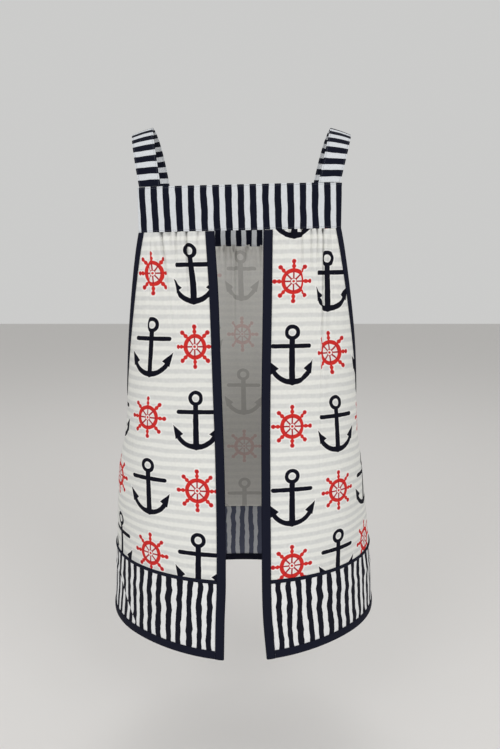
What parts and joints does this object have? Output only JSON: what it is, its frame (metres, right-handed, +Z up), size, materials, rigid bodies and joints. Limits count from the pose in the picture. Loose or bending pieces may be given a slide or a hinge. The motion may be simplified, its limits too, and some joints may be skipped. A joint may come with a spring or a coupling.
{
  "type": "cobbler apron",
  "caption": "Pinafore style cobbler apron, open down the back, with striped yokes, straps and hem band, gathered print panels and navy bindings.",
  "frame": {"origin": "midway between the crests of the two shoulder straps, where the apron rests on the wearer's shoulders", "axes": "+X to the wearer's right, +Y to the wearer's front, +Z up; the back opening faces -Y"},
  "size_m": [0.4212, 0.3025, 0.7418],
  "materials": {
    "print_cloth": "plain woven cotton, off-white with pale grey stripes, navy anchors and red wheels",
    "striped_cloth": "plain woven cotton, navy and white stripes",
    "navy_binding": "folded cotton tape, matt navy"
  },
  "bodies": {
    "root": {"back_yoke": "striped_cloth", "front_yoke": "striped_cloth", "strap_left": "striped_cloth", "strap_right": "striped_cloth", "back_panel_left": "print_cloth", "back_panel_right": "print_cloth", "front_panel": "print_cloth", "hem_band_back_left": "striped_cloth", "hem_band_back_right": "striped_cloth", "hem_band_front": "striped_cloth", "seam_piping": "navy_binding", "armhole_binding_left": "navy_binding", "armhole_binding_right": "navy_binding", "back_binding_left": "navy_binding", "back_binding_right": "navy_binding", "hem_binding": "navy_binding"}
  },
  "joints": []
}
